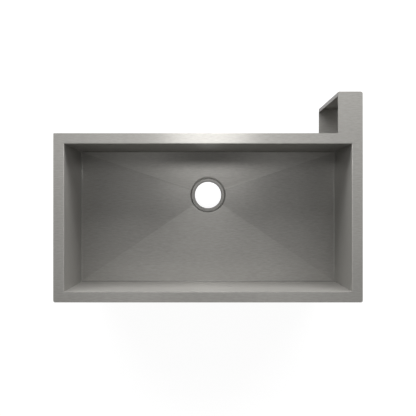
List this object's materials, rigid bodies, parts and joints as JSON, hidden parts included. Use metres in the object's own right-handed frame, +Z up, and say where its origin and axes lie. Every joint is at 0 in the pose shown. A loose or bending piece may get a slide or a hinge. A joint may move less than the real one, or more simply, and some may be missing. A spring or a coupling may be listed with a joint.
{
  "type": "undermount kitchen sink",
  "caption": "Undermount kitchen sink in welded stainless sheet: deep square bowl, floor falling to an open waste hole, flat rim, open channel behind one corner, swing-out mounting clips.",
  "frame": {"origin": "centre of the bowl's opening, in the rim's top face", "axes": "+X to the right seen from the front, +Y to the rear, +Z up out of the bowl"},
  "size_m": [0.914, 0.623, 0.306],
  "materials": {
    "bowl_steel": "satin stainless steel with a fine straight grain along each sheet",
    "channel_steel": "satin stainless steel, the same sheet as the bowl",
    "pad_rubber": "matt sound-deadening rubber, slightly grained",
    "stud_steel": "bright stainless weld stud",
    "nut_steel": "zinc-plated steel",
    "clip_steel": "zinc-plated pressed steel strip"
  },
  "bodies": {
    "sink": {"floor_pan": "bowl_steel", "front_panel": "bowl_steel", "rear_panel": "bowl_steel", "left_panel": "bowl_steel", "right_panel": "bowl_steel", "channel_top": "channel_steel", "channel_wrap": "channel_steel", "channel_front": "channel_steel", "channel_base": "channel_steel", "floor_pad_left": "pad_rubber", "floor_pad_right": "pad_rubber", "floor_pad_front": "pad_rubber", "wall_pad_front": "pad_rubber", "wall_pad_rear": "pad_rubber", "wall_pad_left": "pad_rubber", "wall_pad_right": "pad_rubber", "rim_studs": "stud_steel", "clip_washers": "nut_steel", "lock_nuts": "nut_steel"},
    "rear_left_clip": {"clip_rear_left": "clip_steel"},
    "rear_middle_clip": {"clip_rear_middle": "clip_steel"},
    "rear_right_clip": {"clip_rear_right": "clip_steel"},
    "front_left_clip": {"clip_front_left": "clip_steel"},
    "front_middle_clip": {"clip_front_middle": "clip_steel"},
    "front_right_clip": {"clip_front_right": "clip_steel"},
    "left_front_clip": {"clip_left_front": "clip_steel"},
    "left_rear_clip": {"clip_left_rear": "clip_steel"},
    "right_front_clip": {"clip_right_front": "clip_steel"},
    "right_rear_clip": {"clip_right_rear": "clip_steel"}
  },
  "joints": [
    {"name": "rear_left_clip_swing", "type": "hinge", "parent": "sink", "child": "rear_left_clip", "pos_m": [-0.3, 0.23475, -0.0025], "axis": [0, 0, 1], "range_deg": [0, 90]},
    {"name": "rear_middle_clip_swing", "type": "hinge", "parent": "sink", "child": "rear_middle_clip", "pos_m": [0, 0.23475, -0.0025], "axis": [0, 0, 1], "range_deg": [0, 90]},
    {"name": "rear_right_clip_swing", "type": "hinge", "parent": "sink", "child": "rear_right_clip", "pos_m": [0.3, 0.23475, -0.0025], "axis": [0, 0, 1], "range_deg": [0, 90]},
    {"name": "front_left_clip_swing", "type": "hinge", "parent": "sink", "child": "front_left_clip", "pos_m": [-0.3, -0.23475, -0.0025], "axis": [0, 0, 1], "range_deg": [0, 90]},
    {"name": "front_middle_clip_swing", "type": "hinge", "parent": "sink", "child": "front_middle_clip", "pos_m": [0, -0.23475, -0.0025], "axis": [0, 0, 1], "range_deg": [0, 90]},
    {"name": "front_right_clip_swing", "type": "hinge", "parent": "sink", "child": "front_right_clip", "pos_m": [0.3, -0.23475, -0.0025], "axis": [0, 0, 1], "range_deg": [0, 90]},
    {"name": "left_front_clip_swing", "type": "hinge", "parent": "sink", "child": "left_front_clip", "pos_m": [-0.44175, -0.12, -0.0025], "axis": [0, 0, 1], "range_deg": [0, 90]},
    {"name": "left_rear_clip_swing", "type": "hinge", "parent": "sink", "child": "left_rear_clip", "pos_m": [-0.44175, 0.12, -0.0025], "axis": [0, 0, 1], "range_deg": [0, 90]},
    {"name": "right_front_clip_swing", "type": "hinge", "parent": "sink", "child": "right_front_clip", "pos_m": [0.44175, -0.12, -0.0025], "axis": [0, 0, 1], "range_deg": [0, 90]},
    {"name": "right_rear_clip_swing", "type": "hinge", "parent": "sink", "child": "right_rear_clip", "pos_m": [0.44175, 0.12, -0.0025], "axis": [0, 0, 1], "range_deg": [0, 90]}
  ]
}
